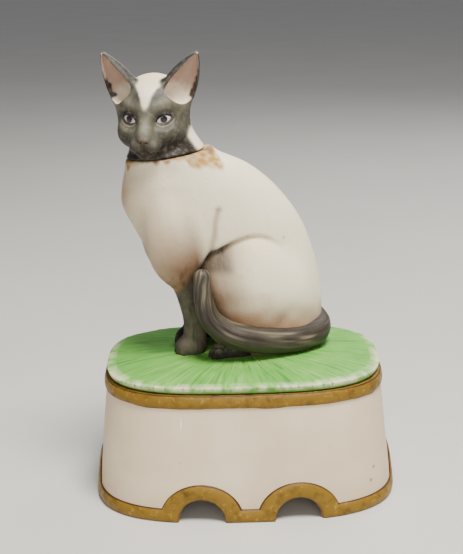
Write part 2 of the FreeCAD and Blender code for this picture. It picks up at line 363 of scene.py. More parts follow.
edge = skirt.modifiers.new("sponged_edge", "BEVEL")
edge.width = 0.0006
edge.segments = 2
edge.limit_method = "ANGLE"
edge.angle_limit = math.radians(45)


# ---- gilt trim ----
# Two half-round beads are cast with the stool and painted with antique gold, one round the foot and over its arches,
# one under the cushion. A thin dark-brown line is drawn along the upper edge of each.
FOOT_BAND_H = 7.0
HOOP_HALF, HOOP_H = 22.4, 20.6
BEAD = ((0.0, -0.5), (0.005, 0.25), (0.04, 0.62), (0.10, 0.95), (0.2, 1.3), (0.34, 1.52), (0.5, 1.6), (0.66, 1.54),
        (0.8, 1.36), (0.91, 1.05), (0.97, 0.72), (1.0, 0.3), (1.0, -0.5))

gilt_finish, tree, shader = start_finish("antique_gilt", 0.46, metallic=0.15)
across = look_of(tree, "across")
colour = gilt_colour(tree, pot(130, 100, 30))
line = add(tree, "ShaderNodeMath", {0: across, 1: times(tree, grain(tree, 90), 0.16)}, operation="ADD").outputs[0]
colour = over(tree, colour, pot(70, 40, 20), spread(tree, line, 0.17, 0.13))
# The lower rounding of each bead is painted darker brown, as painted shade where it turns down.
colour = over(tree, colour, pot(110, 76, 38), spread(tree, line, 0.98, 1.08, 0.0, 0.7))
tree.links.new(colour, shader.inputs["Base Color"])
tree.links.new(spread(tree, grain(tree, 300), 0.3, 0.7, 0.34, 0.58), shader.inputs["Roughness"])
emboss(tree, shader, grain(tree, 700, detail=4.0), 0.00016)

share, rise = np.array(BEAD).T[:, :, None]
top_angle, top_z = arched_edge(HOOP_HALF, HOOP_H, FOOT_BAND_H)
top_angle = top_angle + 2 * math.pi * np.round((low_angle - top_angle) / (2 * math.pi))
bead_angle = top_angle + (low_angle - top_angle) * share
bead_z = top_z + (low_z - top_z) * share
wobble = 0.07 * ripple((bead_angle - low_angle[0]) / (2 * math.pi), share + 0 * bead_angle, 70, 2, 8)
foot_points = on_flare(bead_angle, bead_z, rise + wobble)
make_piece("foot_gilding", foot_points, quads(*foot_points.shape[:2]), gilt_finish, "bottle", ["foot_band"],
           looks={"across": np.broadcast_to(share, bead_z.shape)}, crease=60)

round_angle = np.linspace(0, 2 * math.pi, 560, endpoint=False)[None]
top_share = np.clip(share, 0, 1)
top_bead_z = SKIRT_TOP - TOP_BAND_H * top_share + 0 * round_angle
top_outset = 0.78 * rise + 0.06 * ripple(round_angle / (2 * math.pi), top_share + 0 * round_angle, 60, 2, 9)
top_points = on_flare(round_angle + 0 * top_share, top_bead_z, top_outset)
make_piece("seat_gilding", top_points, quads(*top_points.shape[:2]), gilt_finish, "bottle", ["top_band"],
           looks={"across": np.broadcast_to(top_share, top_bead_z.shape)}, crease=60)


# ---- floor of the reservoir ----
# A bisque plate closes the bottle above the arches. It is pressed, trimmed to the wall and luted in from below before
# the firing, and nobody sees it in use, so it is left rough and unpainted.
floor_finish, tree, shader = start_finish("floor_bisque", 0.7)
cloud, tooth, specks = grained(tree, 40.0)
colour = over(tree, pot(205, 192, 172), pot(184, 168, 144), cloud)
colour = over(tree, colour, pot(150, 118, 84), specks)
tree.links.new(colour, shader.inputs["Base Color"])
emboss(tree, shader, tooth, 0.0001)
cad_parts["reservoir_floor"].data.materials.clear()
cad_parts["reservoir_floor"].data.materials.append(floor_finish)


# ---- cushion ----
# The cushion is bisque too, luted to the stool, with tufting strokes combed from its middle to its rolled edge.
# It is painted green; the edge is rubbed pale between short dark ticks, and a dark line lies in the seam below.
CUSHION_A, CUSHION_B = 74.6, 52.7
RIM_Z, SEAT_RISE = 72.0, 5.4
DARK_EDGE = 68.9
TICKS, RIM_LENGTH = 64, 430
ROUND = 1100


def seat_height(k):
    """Height of the dome where the outline is k times the rim's: a shallow cap with a rounded shoulder."""
    return RIM_Z + SEAT_RISE * (1 - np.abs(k) ** 2.6) ** 0.66


def surface_normals(points):
    """Unit normals of a grid that wraps along its second axis."""
    down = np.gradient(points, axis=0)
    round_ = np.roll(points, -1, 1) - np.roll(points, 1, 1)
    normal = np.cross(round_, down)
    return normal / np.maximum(np.linalg.norm(normal, axis=-1, keepdims=True), 1e-9)


under = [(0.0, 68.3), (0.5, 68.3), (0.9, 68.3), (0.955, 68.35),
         (0.972, 68.6), (0.983, 69.2), (0.991, 70.0), (0.997, 71.0)]
crown_k = np.cos(np.linspace(0, math.pi / 2, 72)) ** 0.9
crown_k[-1] = 0.0
profile_k = np.concatenate([[k for k, z in under], crown_k])[:, None]
profile_z = np.concatenate([[z for k, z in under], seat_height(crown_k)])[:, None]
steps = outline_radius(np.linspace(0, 2 * math.pi, 4001), CUSHION_A, CUSHION_B)[:, None]
sweep = np.linspace(0, 2 * math.pi, 4001)
loop = steps * np.stack([np.cos(sweep), np.sin(sweep)], -1)
travelled = np.concatenate([[0], np.cumsum(np.linalg.norm(np.diff(loop, axis=0), axis=1))])
travelled /= travelled[-1]
part_round = np.arange(ROUND)[None] / ROUND
cushion_angle = np.interp(part_round, travelled, sweep)
radius = outline_radius(cushion_angle, CUSHION_A, CUSHION_B) * profile_k
cushion_points = np.stack([radius * np.cos(cushion_angle), radius * np.sin(cushion_angle),
                           profile_z + 0 * radius], -1)
facing_out = surface_normals(cushion_points)
if np.mean(facing_out[12:60, :, 2]) < 0:
    facing_out = -facing_out
on_top = np.clip((profile_z - 71.4) / 1.5, 0, 1) * (profile_z > 71)
inward = np.clip(1 - profile_k, 0, 1) + 0 * cushion_angle
fine = 0.5 * ripple(part_round + 0.01 * inward, inward, 300, 5, 21) + 0.5 * ripple(part_round, inward, 540, 8, 22)
fine *= np.clip((profile_k - 0.12) / 0.3, 0, 1)
broad = ripple(part_round, inward, 34, 3, 23)
seed = np.random.default_rng(24)
tick_at = (np.arange(TICKS) + seed.uniform(-0.32, 0.32, TICKS)) / TICKS
tick_depth = seed.uniform(0.25, 1.0, TICKS)
gap = np.abs((part_round[..., None] - tick_at + 0.5) % 1 - 0.5) * RIM_LENGTH
tick = np.sum(np.exp(-(gap / 0.55) ** 2) * tick_depth, -1)
on_rim = np.exp(-((profile_z - 71.6) / 1.5) ** 2) * (profile_k > 0.93)
tick = np.clip(tick, 0, 1) * on_rim
puff = 0.16 * broad * on_rim + 0.10 * broad * on_top
cushion_points = cushion_points + facing_out * (0.16 * fine * on_top - 0.55 * tick + puff)[..., None]

cushion_finish, tree, shader = start_finish("green_bisque_paint", 0.62)
strokes, rim, ticks = look_of(tree, "strokes"), look_of(tree, "rim"), look_of(tree, "ticks")
cloud, tooth, specks = grained(tree, 45.0)
colour = over(tree, pot(86, 152, 54), pot(112, 172, 76), cloud)
# The combed strokes take their colour from their own relief: the grooves are painted darker green as painted shade, and
# the ridges paler as painted highlight.
colour = over(tree, colour, pot(58, 124, 42), spread(tree, strokes, 0.45, 0.12, 0.0, 0.8))
colour = over(tree, colour, pot(150, 194, 108), spread(tree, strokes, 0.62, 0.95, 0.0, 0.55))
worn = times(tree, rim, spread(tree, grain(tree, 120, detail=4.0), 0.36, 0.56))
colour = over(tree, colour, pot(226, 228, 186), worn)
colour = over(tree, colour, pot(66, 112, 58), spread(tree, ticks, 0.25, 0.75, 0.0, 0.9))
height = height_of(tree)
colour = over(tree, colour, pot(66, 52, 26), spread(tree, height, DARK_EDGE / 1000, DARK_EDGE / 1000 - 0.0003))
tree.links.new(colour, shader.inputs["Base Color"])
tree.links.new(spread(tree, tooth, 0.3, 0.7, 0.52, 0.7), shader.inputs["Roughness"])
emboss(tree, shader, tooth, 0.00008)
make_piece("seat_cushion", cushion_points, quads(*cushion_points.shape[:2], wrap_rows=False), cushion_finish, "bottle",
           ["cushion"], merge=True, crease=70,
           looks={"strokes": 0.5 + 0.5 * fine * on_top + 0.12 * broad, "rim": np.clip(on_rim + 0 * broad, 0, 1),
                  "ticks": tick})


# ---- cat's body ----
# White bisque, slip-cast: trunk and haunches flow into each other with soft fillets, and the charcoal forelegs are cast
# apart and luted on below the chest. A two-parameter surface can't branch like that, so the form is a field: the
# signed distance to the clay, below zero inside. skin() lays a net of four-sided faces where it is zero.
CAT_TURN = math.radians(10)
CAT_Y = 6.0
NECK_AT = np.array([-38.6, -0.8, 186.6])
NECK_AXIS = np.array([-0.11147, 0.0, 0.99377])
JOINT_GAP = 0.4
SPOUT_L = 17.0
TRUNK = np.array([
    (70, -9, 44.5, 22.0), (80, -12, 45, 22.5), (92, -18, 45.2, 22.5), (106, -28, 45.0, 22.0), (120, -40.4, 42.8, 22.0),
    (134, -50.5, 38.9, 22.5), (148, -58.1, 33.0, 23.5), (160, -63.4, 24.9, 23.5), (171, -62.8, 14.7, 23.0),
    (180, -60.9, 2.4, 22.0), (186, -60.4, -10.5, 21.5), (192, -60.0, -17.5, 21.4)])
FORELEG = ((-37.6, 8.6, 136, 9.5), (-30.6, 8.5, 113, 7.2), (-27.6, 8.0, 97, 6.2), (-27.6, 7.9, 80, 6.2))
FAR_LEG_BACK = 2.3
CUSHION_LINE = 74.4
SHOULDER_LINE = ((-15.6, 158), (-17.4, 151), (-18.1, 144), (-19.8, 136), (-21.4, 131))
COLLAR_R = 15.8


def flowing(where, stations, values):
    """A smooth curve through values at the stations: cubic pieces whose slopes come from the neighbours."""
    stations, values = np.asarray(stations, float), np.asarray(values, float)
    slope = np.gradient(values, stations)
    where = np.clip(where, stations[0], stations[-1])
    k = np.clip(np.searchsorted(stations, where) - 1, 0, len(stations) - 2)
    width = stations[k + 1] - stations[k]
    t = (where - stations[k]) / width
    return ((1 + 2 * t) * (1 - t) ** 2 * values[k] + t * (1 - t) ** 2 * width * slope[k]
            + t * t * (3 - 2 * t) * values[k + 1] + t * t * (t - 1) * width * slope[k + 1])


def ease(value):
    """0 below 0, 1 above 1, and a smooth step between."""
    value = np.clip(value, 0, 1)
    return value * value * (3 - 2 * value)


def egg(x, y, z, centre, radii):
    """Distance to an ellipsoid: k0 (k0 - 1) / k1, with k0 and k1 the lengths of p/r and p/r^2."""
    p = [(v - c) for v, c in zip((x, y, z), centre)]
    k0 = np.sqrt(sum((v / r) ** 2 for v, r in zip(p, radii))) + 1e-9
    k1 = np.sqrt(sum((v / r ** 2) ** 2 for v, r in zip(p, radii))) + 1e-9
    return k0 * (k0 - 1) / k1


def limb(x, y, z, stations):
    """Distance to a chain of rods whose radius changes evenly from one station to the next."""
    nearest = None
    for (x0, y0, z0, r0), (x1, y1, z1, r1) in zip(stations, stations[1:]):
        dx, dy, dz = x1 - x0, y1 - y0, z1 - z0
        t = np.clip(((x - x0) * dx + (y - y0) * dy + (z - z0) * dz) / (dx * dx + dy * dy + dz * dz), 0, 1)
        gap = np.sqrt((x - x0 - t * dx) ** 2 + (y - y0 - t * dy) ** 2 + (z - z0 - t * dz) ** 2) - r0 - (r1 - r0) * t
        nearest = gap if nearest is None else join(nearest, gap, 1.0)
    return nearest


def join(a, b, fillet):
    """Union of two forms: their smaller distance, rounded off over the fillet's width."""
    h = np.clip(0.5 + 0.5 * (b - a) / fillet, 0, 1)
    return b + (a - b) * h - fillet * h * (1 - h)


def scoop(a, b, fillet):
    """Form a with form b taken out of it."""
    return -join(-a, b, fillet)


def groove(u, v, line, depth, width):
    """Depth of a tooled line: it falls off as exp(-(gap/width)^2) beside a run of straight bits in the u, v plane."""
    gap = None
    for (u0, v0), (u1, v1) in zip(line, line[1:]):
        t = np.clip(((u - u0) * (u1 - u0) + (v - v0) * (v1 - v0)) / ((u1 - u0) ** 2 + (v1 - v0) ** 2), 0, 1)
        here = np.hypot(u - u0 - t * (u1 - u0), v - v0 - t * (v1 - v0))
        gap = here if gap is None else np.minimum(gap, here)
    return depth * np.exp(-(gap / width) ** 2)


def cat_axes(x, y):
    """Turns places in the room to the cat's own axes: rearward, and towards its right side."""
    c, s = math.cos(CAT_TURN), math.sin(CAT_TURN)
    return c * x + s * (y - CAT_Y), c * (y - CAT_Y) - s * x


def leaf(u, v, reach, half, snug):
    """Distance to an ellipse: (size - 1) / slope, with size the length of p/r; snug allows for its leaning sides."""
    size = np.sqrt((u / reach) ** 2 + (v / half) ** 2) + 1e-6
    steepness = np.sqrt((u / reach ** 2) ** 2 + (v / half ** 2) ** 2) / size
    return snug * (size - 1) / np.maximum(steepness, 1e-3)


def trunk_form(rear, aside, z):
    """Elliptical sections whose front, back and half width flow from station to station."""
    front, back, half = (flowing(z, TRUNK[:, 0], TRUNK[:, k]) for k in (1, 2, 3))
    return leaf(rear - (front + back) / 2, aside, (back - front) / 2, half, 0.88)


def thigh_form(rear, near, z):
    """A flat egg that leans forward, half sunk in the trunk; its sides are squarer than an ellipsoid's."""
    lean = math.radians(30)
    dx, dz = rear - 2.5, z - 114.5
    up = dz * math.cos(lean) - dx * math.sin(lean)
    back = dx * math.cos(lean) + dz * math.sin(lean)
    radii, power = (25.0, 15.6, 30.0), 2.4
    p = [np.abs(v) / r for v, r in zip((back, near - 12.5, up), radii)]
    size = sum(v ** power for v in p) ** (1 / power) + 1e-6
    steepness = np.sqrt(sum((v ** (power - 1) / r) ** 2 for v, r in zip(p, radii))) * size ** (1 - power)
    return (size - 1) / np.maximum(steepness, 0.01)


def neck_place(x, y, z):
    """Height above the neck joint, and distance from its axis."""
    dx, dy, dz = x - NECK_AT[0], y - NECK_AT[1], z - NECK_AT[2]
    height = dx * NECK_AXIS[0] + dz * NECK_AXIS[2]
    return height, np.sqrt(np.maximum(dx * dx + dy * dy + dz * dz - height * height, 0))


def body_form(x, y, z):
    rear, aside = cat_axes(x, y)
    near = np.abs(aside)
    form = trunk_form(rear, aside, z)
    form = join(form, egg(rear, near, z, (-36.0, 12.0, 143), (17.0, 11.8, 27)), 5.0)
    form = form + groove(rear, z, SHOULDER_LINE, 1.1, 1.9) * ease((near - 8) / 6)
    thigh = thigh_form(rear, near, z)
    form = form + 1.6 * np.exp(-((thigh - 0.9) / 1.5) ** 2) * ease((24 - rear) / 26) * ease((z - 92) / 16) * (near > 8)
    fillet = 0.6 + 13.0 * ease((rear - 12) / 26)
    form = join(form, thigh, fillet)
    form = join(form, egg(rear, near, z, (6.0, 14.0, 86), (24.0, 9.4, 14.0)), 9.0)
    back = rear - FAR_LEG_BACK * ease((aside + 3) / 6)
    leg = limb(back, near, z, FORELEG)
    foot = egg(back, near, z, (-30.8, 7.9, 80.0), (8.0, 6.7, 6.8))
    for toe in (-4.6, -1.6, 1.6, 4.6):
        foot = join(foot, egg(back, near, z, (-35.4 + 0.12 * toe * toe, 7.9 + toe, 78.2), (4.0, 1.9, 3.8)), 0.6)
    leg = join(leg, foot, 2.5)
    return join(form, leg, 1.2 + 4.0 * ease((z - 88) / 22))


def torso_form(x, y, z):
    """The body with a flat lip at the neck, the pocket that takes the pouring collar, and its foot on the cushion."""
    form = np.maximum(smooth_torso(x, y, z), CUSHION_LINE - z)
    return np.maximum(form, -leg_block(x, y, z))


def smooth_torso(x, y, z):
    """The body down to the lip and pocket, without the flat cuts where it is luted to other pieces."""
    height, out = neck_place(x, y, z)
    form = -join(-body_form(x, y, z), -(height + JOINT_GAP / 2), 1.6)
    return scoop(form, np.maximum(out - COLLAR_R, -(height + SPOUT_L + 0.4)), 0.4)


def leg_block(x, y, z):
    """Below zero in the block that holds the two forelegs, below their luting line."""
    rear = cat_axes(x, y)[0]
    return np.maximum(z - 108 - 0.35 * (rear + 26), rear + 19.3)


def foreleg_form(x, y, z, side):
    form = np.maximum(body_form(x, y, z) + 0.05, leg_block(x, y, z) - 2.0)
    return np.maximum(form, -side * cat_axes(x, y)[1])


def hind_paw_form(x, y, z, side):
    rear, aside = cat_axes(x, y)
    near = aside * side
    foot = egg(rear, near, z, (-8.0, 19.0, 79.0), (12.0, 5.4, 7.4))
    for toe in (-3.5, 0.0, 3.5):
        foot = join(foot, egg(rear, near, z, (-17.6 + 0.1 * toe * toe, 19 + toe, 78.0), (5.0, 2.0, 4.6)), 0.6)
    return foot


def skin(form, low, high, step):
    """Points and faces of a form's surface, with one point in each cell that it crosses.

    A point is the mean of the places where the form is zero on its cell's edges, and a face joins the points of the
    four cells round each crossed edge. A coarse grid finds the cells near the surface first."""
    low = np.array(low, float)
    coarse = 4
    cells = np.ceil((np.array(high) - low) / (step * coarse)).astype(int)
    axes = [low[k] + step * coarse * (np.arange(cells[k]) + 0.5) for k in range(3)]
    rough = form(*np.meshgrid(*axes, indexing="ij"))
    depth = rough.repeat(coarse, 0).repeat(coarse, 1).repeat(coarse, 2)
    close = np.argwhere(np.abs(depth) < step * coarse * 2.2)
    depth[tuple(close.T)] = form(*(low + step * (close + 0.5)).T)
    inside = depth < 0
    count = [n - 1 for n in depth.shape]
    corners = [(i, j, k) for i in (0, 1) for j in (0, 1) for k in (0, 1)]
    filled = sum(inside[i:i + count[0], j:j + count[1], k:k + count[2]].astype(np.int8) for i, j, k in corners)
    crossed = (filled > 0) & (filled < 8)
    cell = np.argwhere(crossed)
    number = np.full(crossed.shape, -1)
    number[crossed] = np.arange(len(cell))
    total, hits = np.zeros((len(cell), 3)), np.zeros(len(cell))
    for axis in range(3):
        unit = np.eye(3, dtype=int)[axis]
        for corner in corners:
            if corner[axis] == 0:
                a = cell + corner
                da, db = depth[tuple(a.T)], depth[tuple((a + unit).T)]
                cut = (da < 0) != (db < 0)
                total[cut] += corner + unit * (da[cut] / (da[cut] - db[cut]))[:, None]
                hits += cut
    points = low + step * (cell + total / hits[:, None] + 0.5)
    faces = []
    for axis in range(3):
        unit, side, other = (np.roll(np.eye(3, dtype=int)[axis], k) for k in (0, 1, 2))
        a = np.argwhere(np.diff(inside, axis=axis))
        a = a[np.all(a + unit < depth.shape, 1) & np.all(a >= side + other, 1) & np.all(a < count, 1)]
        ring = np.stack([number[tuple((a - m * side - n * other).T)] for m, n in ((1, 1), (0, 1), (0, 0), (1, 0))], -1)
        turned = inside[tuple(a.T)]
        ring[~turned] = ring[~turned][:, ::-1]
        faces.append(ring)
    return points, np.concatenate(faces)


def slope_of(form, points, reach=0.12):
    """Gradient of a form by differences across a short reach."""
    columns = []
    for axis in range(3):
        shift = np.eye(3)[axis] * reach
        columns.append((form(*(points + shift).T) - form(*(points - shift).T)) / (2 * reach))
    return np.stack(columns, -1)


def fitted(form, points, smooth_form=None, rounds=2):
    """Moves points onto the form where it is smooth, and returns them with their normals."""
    for _ in range(rounds):
        slope = slope_of(form, points)
        size = np.sum(slope * slope, -1)
        move = np.clip(form(*points.T) / np.maximum(size, 0.3), -0.4, 0.4)
        points = points - (slope * move[:, None]) * (size > 0.6)[:, None]
    slope = slope_of(smooth_form or form, points)
    return points, slope / np.maximum(np.linalg.norm(slope, axis=1, keepdims=True), 1e-6)


def drift(x, y, z, size, seed):
    """Soft random values between -1 and 1 that change over the given size, from a hashed lattice."""
    value = 0
    cell = [np.floor(v / size).astype(np.int64) for v in (x, y, z)]
    part = [ease(v / size - c) for v, c in zip((x, y, z), cell)]
    for i in (0, 1):
        for j in (0, 1):
            for k in (0, 1):
                key = (cell[0] + i) * 73856093 ^ (cell[1] + j) * 19349663 ^ (cell[2] + k) * 83492791 ^ seed * 2654435
                key = (key * 1103515245 + 12345) & 0x7FFFFFFF
                key = (key * 69069 + 1) & 0x7FFFFFFF
                shares = [p if corner else 1 - p for p, corner in zip(part, (i, j, k))]
                value = value + shares[0] * shares[1] * shares[2] * (((key >> 8) & 0xFFFF) / 32767.5 - 1)
    return value


def layered(base, layers):
    """Layers over a base colour, of paint and of painted light and shade: each layer is a colour and a mask from 0 to
    1.
    """
    colour = np.asarray(base, float) * np.ones((len(layers[0][1]), 3))
    for tone, mask in layers:
        colour = colour + (np.asarray(tone) - colour) * np.clip(mask, 0, 1)[:, None]
    return colour


def body_paint(points):
    """White body, tan sprayed under the chest and along the haunch and deepened there as painted shade, painted shade
    in the creases, a painted highlight on the haunch top, charcoal legs, amber stains below the neck.
    """
    x, y, z = points.T
    rear, aside = cat_axes(x, y)
    near = np.abs(aside)
    height, out = neck_place(x, y, z)
    soft = drift(x, y, z, 7.0, 5)
    fine = drift(x, y, z, 2.4, 6)
    thigh = thigh_form(rear, near, z)
    thigh_side = ease((4.0 - thigh) / 4.0) * ease((rear + 24) / 6)
    front = ease((-rear - 16 - 0.25 * (z - 125)) / 10)
    above = 0.57 * (z - 113 - 1.44 * (rear + 37)) + 1.3 * soft + 0.9 * fine
    seal = ease(0.5 - above / 4.5) * ease((-rear - 20.5) / 3.0) * ease((134 - z) / 6)
    seal = seal * ease((thigh - 0.1) / 0.8)
    # Tan is sprayed under the chest and deepened as painted shade, darkest low down and towards the front, where the
    # chest turns from the lamp.
    chest_tan_and_shade = 0.94 * np.exp(-(np.maximum(above, 0) / 19.0) ** 2) * front
    front_tan_and_shade = 0.85 * np.exp(-np.maximum(above, 0) / 45.0) * ease((-rear - 22 - 0.4 * (z - 130)) / 20)
    # The throat under the chin is tan, deepened as painted shade beneath the head.
    throat_tan_and_shade = 0.62 * np.exp(-((height + 17) / 9.0) ** 2 - ((near - 4) / 5.5) ** 2) * ease((-rear - 48) / 8)
    # The lower haunch is sprayed tan and darkened as painted shade, so that it is light above and dark below.
    thigh_tan_and_shade = 0.92 * ease((119 - z - 0.25 * rear + 3 * soft) / 24) * ease((rear + 26) / 8)
    # A pale ochre painted highlight lies on the top of the haunch, over faint ochre patches scattered at random.
    ochre_and_highlight = 0.30 * thigh_side * np.exp(-((z - 141) / 7.0) ** 2) + 0.22 * ease((fine + soft - 0.75) / 0.5)
    bearing = np.arctan2(y - NECK_AT[1], x - NECK_AT[0])
    drip = ripple(bearing / (2 * math.pi), 0 * z, 46, 1, 31) + 0.8 * ripple(bearing / (2 * math.pi), 0 * z, 15, 1, 32)
    heavy = 0.25 + 0.9 * np.exp(-((bearing + 0.62) / 0.36) ** 2) + 0.7 * np.exp(-((bearing + 2.62) / 0.3) ** 2)
    heavy = heavy + 0.5 * np.exp(-((bearing - 1.6) / 0.7) ** 2)
    reach = (6.0 + 3.6 * np.clip(drip, -0.7, 2)) * np.minimum(heavy, 1.2)
    amber = ease((height + reach) / 3.5 + 0.4) * (height < 1.0)
    amber = amber * (0.62 + 0.38 * ease(0.5 + fine)) * (out > 13)
    rust = ease((height + 1.8 + 0.9 * drip) / 1.4) * (height < 0.6) * (out > 17) * (0.35 + 0.4 * ease(0.5 + soft))
    # The shoulder crease is painted darker tan, as painted shade.
    crease = groove(rear, z, SHOULDER_LINE, 1, 1.5) * (near > 10)
    # Painted shade runs along the crease where the haunch meets the trunk.
    thigh_crease_shade = np.exp(-((thigh - 0.6) / 1.5) ** 2) * ease((6 - rear) / 22) * ease((z - 96) / 14) * (near > 10)
    # The wedge is near-black in the deep crease at the front of the haunch: dark paint in the recess, and painted shade
    # for its depth.
    wedge = np.exp(-((thigh - 1.0) / 1.7) ** 2) * ease((-rear - 6) / 7) * ease((z - 122) / 6)
    wedge = wedge * ease((rear + 26) / 3) * (near > 10)
    return layered(paint(243, 232, 204), (
        (paint(226, 196, 140), ochre_and_highlight), (paint(138, 96, 58), thigh_tan_and_shade), (paint(150, 108, 70), front_tan_and_shade),
        (paint(148, 106, 68), throat_tan_and_shade), (paint(104, 62, 30), chest_tan_and_shade), (paint(130, 96, 66), 0.6 * crease),
        (paint(112, 76, 46), 0.8 * thigh_crease_shade),
        (paint(158, 118, 22), amber), (paint(112, 58, 18), rust), (paint(16, 8, 4), seal), (paint(18, 12, 8), wedge)))


def seal_amount(points):
    """How much charcoal paint lies on the body at each point, to give it the dry-brushed strokes of the legs."""
    tone = body_paint(points).mean(1)
    return ease((0.16 - tone) / 0.09)


torso_finish, tree, shader = start_finish("white_bisque", 0.58)
cloud, tooth, specks = grained(tree, 34.0)
paint_and_painted_light = look_of(tree, "paint_and_painted_light", "Color")
charcoal = look_of(tree, "charcoal")
colour = over(tree, paint_and_painted_light, pot(206, 190, 164), spread(tree, cloud, 0.35, 1.0, 0.0, 0.22))
colour = over(tree, colour, pot(150, 118, 84), times(tree, specks, 0.7))
strokes = grain(tree, 260, (1, 1, 0.16), (0, 0.15, 0), 4.0)
pale, deep = spread(tree, strokes, 0.54, 0.76, 0.0, 0.4), spread(tree, strokes, 0.46, 0.30, 0.0, 0.7)
colour = over(tree, colour, pot(104, 94, 78), times(tree, charcoal, pale))
colour = over(tree, colour, pot(20, 14, 10), times(tree, charcoal, deep))
tree.links.new(colour, shader.inputs["Base Color"])
tree.links.new(spread(tree, tooth, 0.3, 0.7, 0.5, 0.64), shader.inputs["Roughness"])
fur = grain(tree, 330, (1, 1, 0.2), (0, 0.7, 0), 2.0)
relief = add(tree, "ShaderNodeMath", {0: times(tree, fur, 1.4), 1: tooth}, operation="ADD").outputs[0]
emboss(tree, shader, relief, 0.00026)


def cast(name, form, low, high, step, finish, body, replaces, paints, smooth_form=None):
    """Skins a form, paints its points and makes the piece."""
    points, faces = skin(form, low, high, step)
    points, normals = fitted(form, points, smooth_form)
    return make_piece(name, points, faces, finish, body, [replaces], paints(points), normals)


def body_looks(points):
    return {"paint_and_painted_light": body_paint(points), "charcoal": seal_amount(points)}


cast("cat_torso", torso_form, (-72, -36, 73), (54, 44, 192), 0.72, torso_finish, "bottle", "torso",
     body_looks, smooth_torso)
for name, side in (("left", -1), ("right", 1)):
    cast("cat_%s_foreleg" % name, lambda x, y, z: foreleg_form(x, y, z, side), (-50, -24, 71), (-10, 24, 124), 0.45,
         torso_finish, "bottle", name + "_foreleg", body_looks, body_form)


# ---- pouring collar ----
# A bisque disc with a tube below it, turned on a wheel and luted flush into the neck. The cork plugs its bore.
# Syrupy stains have run over it and dried in the hollow round its rim.
COLLAR = ((9.55, -0.9), (9.75, -0.35), (10.1, -0.2), (11.4, -0.2), (11.8, -0.5), (12.2, -1.1), (12.9, -1.4),
          (14.9, -1.4), (15.4, -1.2), (15.74, -1.5), (15.74, -3.6), (13.3, -3.8), (12.9, -4.4), (12.9, -16.6),
          (12.6, -17.0), (8.9, -17.0), (8.62, -16.6))


def turned_on_neck(out, level, turn):
    """A profile of distances from the neck's axis and heights along it, carried round that axis."""
    across = np.array([NECK_AXIS[2], 0, -NECK_AXIS[0]])
    return (NECK_AT + level[..., None] * NECK_AXIS + (out * np.cos(turn))[..., None] * across
            + (out * np.sin(turn))[..., None] * np.array([0, 1, 0]))


collar_finish, tree, shader = start_finish("collar_bisque", 0.55)
cloud, tooth, specks = grained(tree, 60.0)
colour = over(tree, pot(214, 196, 152), pot(190, 154, 84), cloud)
colour = over(tree, colour, pot(128, 84, 36), spread(tree, grain(tree, 240, detail=4.0), 0.56, 0.7, 0.0, 0.7))
colour = over(tree, colour, pot(112, 74, 36), specks)
tree.links.new(colour, shader.inputs["Base Color"])
emboss(tree, shader, tooth, 0.0001)

out, level = np.array(COLLAR).T[:, :, None]
turn = np.linspace(0, 2 * math.pi, 144, endpoint=False)[None]
collar_points = turned_on_neck(out, level, turn)
make_piece("pouring_collar", collar_points, quads(*collar_points.shape[:2]), collar_finish, "bottle",
           ["pouring_collar"], crease=50)


# ---- hind paws ----
# Bisque toes that show in front of each haunch, cast in a small mould of their own and luted on.
# They are painted charcoal and rubbed pale on top.
def paw_looks(points):
    x, y, z = points.T
    rubbed = 0.75 * ease((z - 79.5) / 3.0) * ease(0.6 + drift(x, y, z, 1.6, 44))
    return {"paint_and_painted_light": layered(paint(46, 40, 34), ((paint(120, 118, 98), rubbed),)), "charcoal": np.ones(len(points))}


for name, side in (("left", -1), ("right", 1)):
    cast("cat_%s_hind_paw" % name, lambda x, y, z: hind_paw_form(x, y, z, side), (-34, -34, 69), (14, 34, 90), 0.4,
         torso_finish, "bottle", name + "_hind_paw", paw_looks)


# ---- tail ----
# A rolled and luted coil of slip-cast ware that leaves the rump, wraps the left haunch and ends in front of it.
# It is charcoal, dry-brushed lengthwise with grey-brown.
TAIL = np.array([
    (33.0, 14.0, 90.0, 7.0), (40.6, 6.0, 88.5, 7.7), (42.2, -3.0, 86.2, 7.8), (39.0, -12.0, 84.6, 7.6),
    (28.6, -20.0, 83.8, 7.5), (10.3, -26.4, 85.9, 7.2), (-3.9, -28.5, 89.3, 7.1), (-16.3, -28.5, 94.9, 6.5),
    (-22.9, -27.5, 102.4, 5.7), (-25.4, -26.0, 111.5, 5.1), (-25.8, -25.0, 119.5, 4.7), (-25.3, -24.0, 128.0, 4.5)])


def tail_path(share):
    """The coil's middle line and radius in the room, as smooth curves through the stations."""
    knots = np.concatenate([[0], np.cumsum(np.linalg.norm(np.diff(TAIL[:, :3], axis=0), axis=1))])
    rear, aside, z, radius = (flowing(share * knots[-1], knots, TAIL[:, k]) for k in range(4))
    c, s = math.cos(CAT_TURN), math.sin(CAT_TURN)
    return np.stack([c * rear - s * aside, CAT_Y + s * rear + c * aside, z], -1), radius, share * knots[-1], knots[-1]


STEPS_ALONG, STEPS_ROUND = 420, 72
share = np.linspace(0, 1, STEPS_ALONG)
middle, radius, run, length = tail_path(share)
along = np.gradient(middle, axis=0)
along /= np.linalg.norm(along, axis=1, keepdims=True)
start_cap = np.sqrt(1 - np.clip(1 - run / radius, 0, 1) ** 2)
end_cap = np.sqrt(1 - np.clip(1 - (length - run) / radius, 0, 1) ** 2)
side_way = np.cross(along, (0.15, 0.35, 1.0))
side_way /= np.linalg.norm(side_way, axis=1, keepdims=True)
up_way = np.cross(side_way, along)
turn = np.linspace(0, 2 * math.pi, STEPS_ROUND, endpoint=False)[None, :, None]
round_share, along_share = turn[..., 0] / (2 * math.pi), share[:, None] + 0 * turn[..., 0]
brush = (0.6 * ripple(round_share + 0.06 * share[:, None], along_share, 30, 9, 51)
         + 0.4 * ripple(round_share, along_share, 64, 14, 52))
girth = (radius * start_cap * end_cap)[:, None, None] + 0.14 * brush[..., None] * (end_cap * start_cap)[:, None, None]
tail_points = middle[:, None] + girth * (np.cos(turn) * side_way[:, None] + np.sin(turn) * up_way[:, None])

